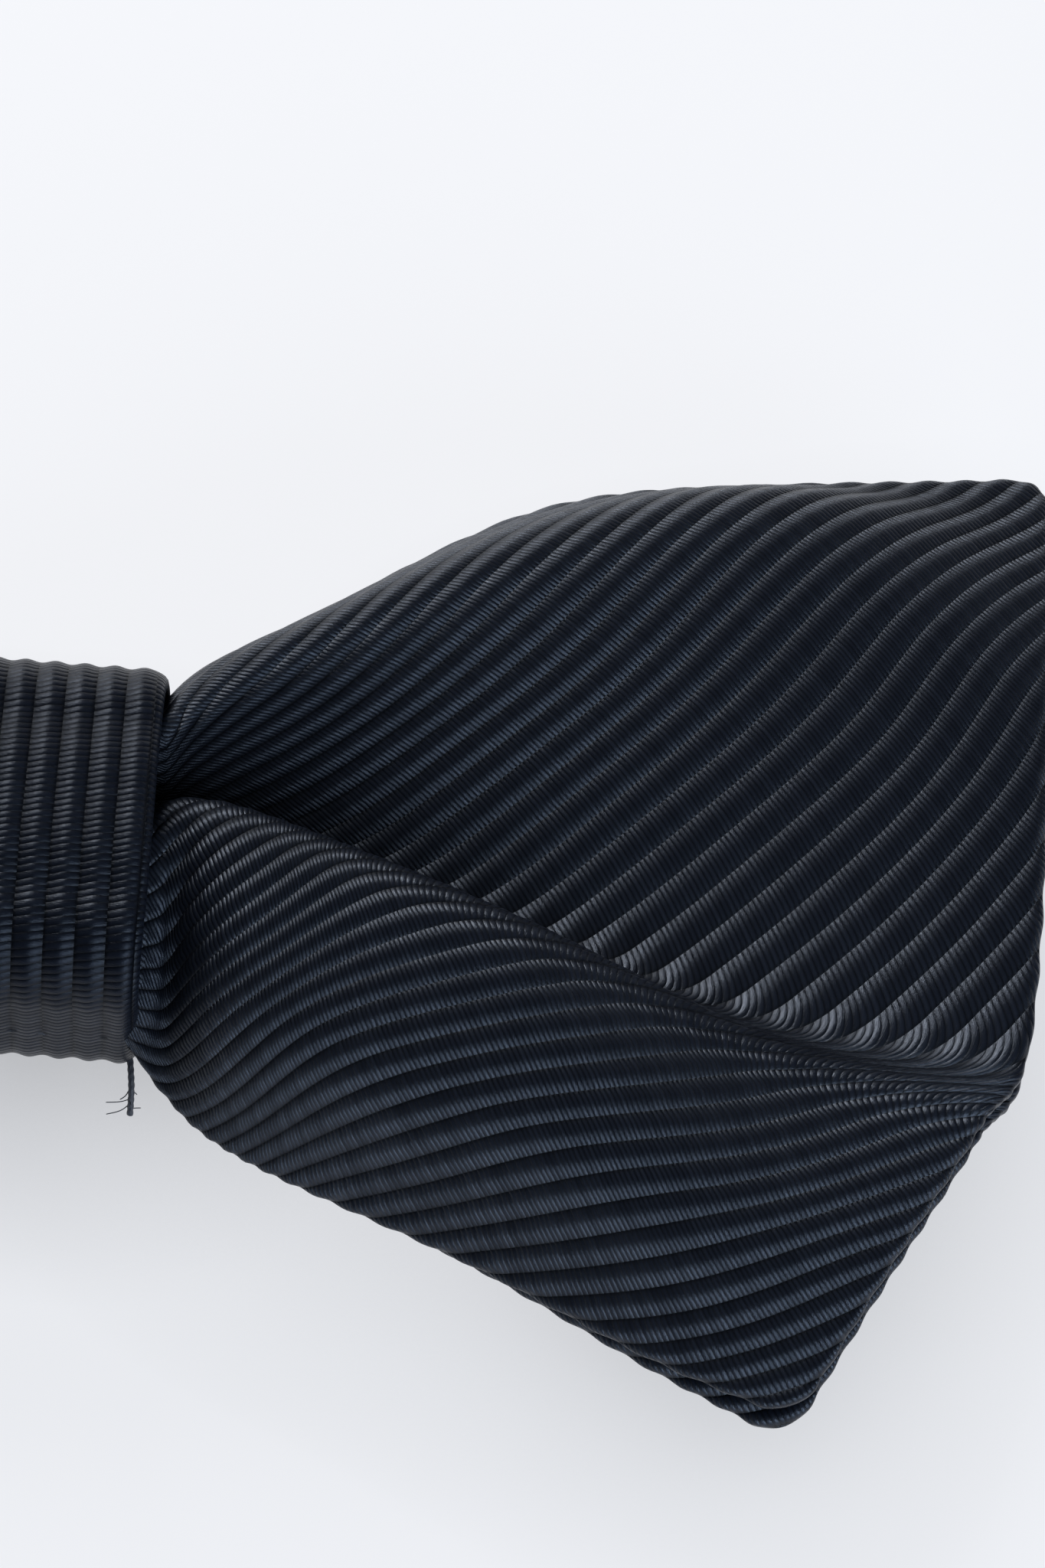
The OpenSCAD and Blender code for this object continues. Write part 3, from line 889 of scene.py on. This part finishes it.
@once
def floor(f):
    """A plain pale table top that glows evenly, with a painted contact shadow: its glow is dimmed
    where something stands close to it.
    """
    place = f.add("TexCoord").outputs["Object"]
    grain = f.noise(place, 90.0, 3.0)
    look = bpy.context.scene.bow_tie_stage
    c, glow = look.floor, look.floor_glow
    # painted contact shadow: ambient occlusion within 15 mm dims the floor's glow under and beside
    # the bow
    painted_shadow_ao = f.add("AmbientOcclusion", {"Distance": 15.0 * MM}).outputs["AO"]
    f.bump(grain, 0.02 * MM)
    f.set(base_color=f.mix(grain, rgba(c), rgba([0.985 * v for v in c])),
          roughness=0.7, specular_ior_level=0.3, emission_color=(0.955, 0.965, 1.0, 1.0),
          emission_strength=f.math("MULTIPLY_ADD", painted_shadow_ao, 0.6 * glow, 0.4 * glow))
    return f


# ---------------------------------------------------------------- operators

class Builder(bpy.types.Operator):
    """Shared settings of the operators that build the bow tie."""

    bl_idname = "bow_tie.builder"
    bl_label = "Bow tie builder"
    bl_options = {"REGISTER", "UNDO"}

    def execute(self, context):
        self.build()
        return {"FINISHED"}


class BOWTIE_OT_front_bow(Builder):
    """Builds the front blade: two wings of ribbed satin, pressed flat and folded in pleats"""

    bl_idname = "bow_tie.front_bow"
    bl_label = "Front bow"

    def build(self):
        for name, side in (("front_bow_right", 1), ("front_bow_left", -1)):
            wing = blade_wing(name, side, FRONT_DEPTH, 0)
            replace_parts(wing, "front_bow")


class BOWTIE_OT_rear_bow(Builder):
    """Builds the rear blade, which shows as a narrow strip under the front one"""

    bl_idname = "bow_tie.rear_bow"
    bl_label = "Rear bow"

    def build(self):
        for name, side in (("rear_bow_right", 1), ("rear_bow_left", -1)):
            wing = blade_wing(name, side, REAR_DEPTH, REAR_REACH)
            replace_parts(wing, "rear_bow")


class BOWTIE_OT_interlinings(Builder):
    """Builds the canvas inside both blades and finishes the canvas inside the band"""

    bl_idname = "bow_tie.interlinings"
    bl_label = "Interlinings"

    def build(self):
        for node, depth in (("front_bow_interlining", FRONT_DEPTH),
                            ("rear_bow_interlining", REAR_DEPTH)):
            points, faces, _ = gather([canvas_wing(1, depth), canvas_wing(-1, depth)])
            piece = make_piece(node + "_canvas", points, faces, canvas(), None)
            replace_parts(piece, node)
        repaint("knot_interlining", canvas())


class BOWTIE_OT_knot(Builder):
    """Builds the ribbed band that is wrapped round the pleated middle"""

    bl_idname = "bow_tie.knot"
    bl_label = "Knot band"

    def build(self):
        piece = band()
        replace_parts(piece, "knot_wrap")


class BOWTIE_OT_sewing(Builder):
    """Builds the stitches behind the knot, the thread's loose end and the clip's stitches"""

    bl_idname = "bow_tie.sewing"
    bl_label = "Sewing"

    def build(self):
        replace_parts(seam_stitches(), "knot_seam_stitches")
        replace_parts(tail(), "thread_tail")
        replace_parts(clip_stitches(), "clip_stitches")
        repaint("pleat_thread", thread_plain())


class BOWTIE_OT_clip(Builder):
    """Builds the felt patch, the stamped plate, its two levers and their pins"""

    bl_idname = "bow_tie.clip"
    bl_label = "Clip"

    def build(self):
        eased("clip_patch", 0.3, felt())
        eased("clip_base", 0.12, nickel())
        for name in ("left", "right"):
            eased("clip_lever_" + name, 0.1, nickel(), "jaw_" + name)
            eased("hinge_pin_" + name, 0.12, nickel())


class BOWTIE_OT_springs(Builder):
    """Builds the two wound springs, each with a leg along a lever's thumb tab"""

    bl_idname = "bow_tie.springs"
    bl_label = "Springs"

    def build(self):
        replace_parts(spring(1), "torsion_spring_right")
        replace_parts(spring(-1), "torsion_spring_left")


class BOWTIE_OT_stage(Builder):
    """Builds the pale floor, the soft lights and the camera"""

    bl_idname = "bow_tie.stage"
    bl_label = "Floor, lights and camera"

    def build(self):
        look = bpy.context.scene.bow_tie_stage
        square = FLOOR_HALF * np.array([[-1.0, -1, 0], [1, -1, 0], [1, 1, 0], [-1, 1, 0]])
        ground = make_piece("table_top", square, np.array([[0, 1, 2, 3]]), floor(), body=None)
        aim = np.array(AIM) + [0, KNOT_MID[1], 0]
        light("key_light", aim, (-270, 575, 390), 400, look.key_power, (0.97, 0.98, 1.0))
        light("fill_light", aim, (60, 60, 620), 620, look.fill_power, (0.94, 0.97, 1.0))
        light("front_light", aim, (260, -340, 190), 320, look.front_power, (0.74, 0.86, 1.0))
        world = bpy.context.scene.world or bpy.data.worlds.new("room")
        bpy.context.scene.world = world
        world.use_nodes = True
        background = next(n for n in world.node_tree.nodes if n.type == "BACKGROUND")
        background.inputs["Color"].default_value = (0.93, 0.96, 1.0, 1.0)
        background.inputs["Strength"].default_value = look.world
        bpy.context.scene.view_settings.view_transform = "Standard"
        camera(aim, look)


def light(name, aim, offset, size, power, colour):
    """A square soft light at aim + offset, facing aim."""
    lamp = bpy.data.lights.new(name, "AREA")
    lamp.size, lamp.energy, lamp.color = size * MM, power, colour
    item = bpy.data.objects.new(name, lamp)
    item.location = (aim + offset) * MM
    item.rotation_euler = (-Vector(offset)).to_track_quat("-Z", "Y").to_euler()
    bpy.context.scene.collection.objects.link(item)


def camera(aim, look):
    """A camera that looks at aim from the front, from elevation above the floor, then rolled."""
    cam = bpy.data.cameras.new("camera")
    cam.lens = look.lens
    cam.sensor_fit, cam.sensor_height = "VERTICAL", 36.0
    cam.clip_start, cam.clip_end = 0.01, 10.0
    back = Vector((0, -math.cos(look.elevation), math.sin(look.elevation)))
    level_up = Vector((0, math.sin(look.elevation), math.cos(look.elevation)))
    right = Vector((1, 0, 0)) * math.cos(look.roll) + level_up * math.sin(look.roll)
    up = back.cross(right)
    item = bpy.data.objects.new("camera", cam)
    place = Vector(aim * MM) + back * CAMERA_DISTANCE * MM
    item.matrix_world = Matrix.Translation(place) @ Matrix((right, up, back)).transposed().to_4x4()
    bpy.context.scene.collection.objects.link(item)
    bpy.context.scene.camera = item


def repaint(node, material):
    """Gives one of the frame's nodes a material, in place of its own."""
    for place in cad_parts[node].material_slots:
        place.material = material


PARTS = [BOWTIE_OT_front_bow, BOWTIE_OT_rear_bow, BOWTIE_OT_interlinings, BOWTIE_OT_knot,
         BOWTIE_OT_sewing, BOWTIE_OT_clip, BOWTIE_OT_springs, BOWTIE_OT_stage]


class VIEW3D_PT_bow_tie(bpy.types.Panel):
    """The bow tie's settings and builders"""

    bl_label = "Bow tie"
    bl_idname = "VIEW3D_PT_bow_tie"
    bl_space_type = "VIEW_3D"
    bl_region_type = "UI"
    bl_category = "Bow tie"

    def draw(self, context):
        for group in ("bow_tie_sizes", "bow_tie_finishes", "bow_tie_stage"):
            box = self.layout.box()
            data = getattr(context.scene, group)
            for name in data.__annotations__:
                box.prop(data, name)
        for part in PARTS:
            self.layout.operator(part.bl_idname)


GROUPS = {"bow_tie_sizes": BowSizes, "bow_tie_finishes": Finishes, "bow_tie_stage": StageLook}
CLASSES = [*GROUPS.values(), *PARTS, VIEW3D_PT_bow_tie]


def register():
    for item in CLASSES:
        bpy.utils.register_class(item)
    for name, group in GROUPS.items():
        setattr(bpy.types.Scene, name, PointerProperty(type=group))


def unregister():
    for name in GROUPS:
        delattr(bpy.types.Scene, name)
    for item in reversed(CLASSES):
        bpy.utils.unregister_class(item)


def main():
    register()
    for part in PARTS:
        group, name = part.bl_idname.split(".")
        getattr(getattr(bpy.ops, group), name)()


if __name__ == "__main__":
    main()
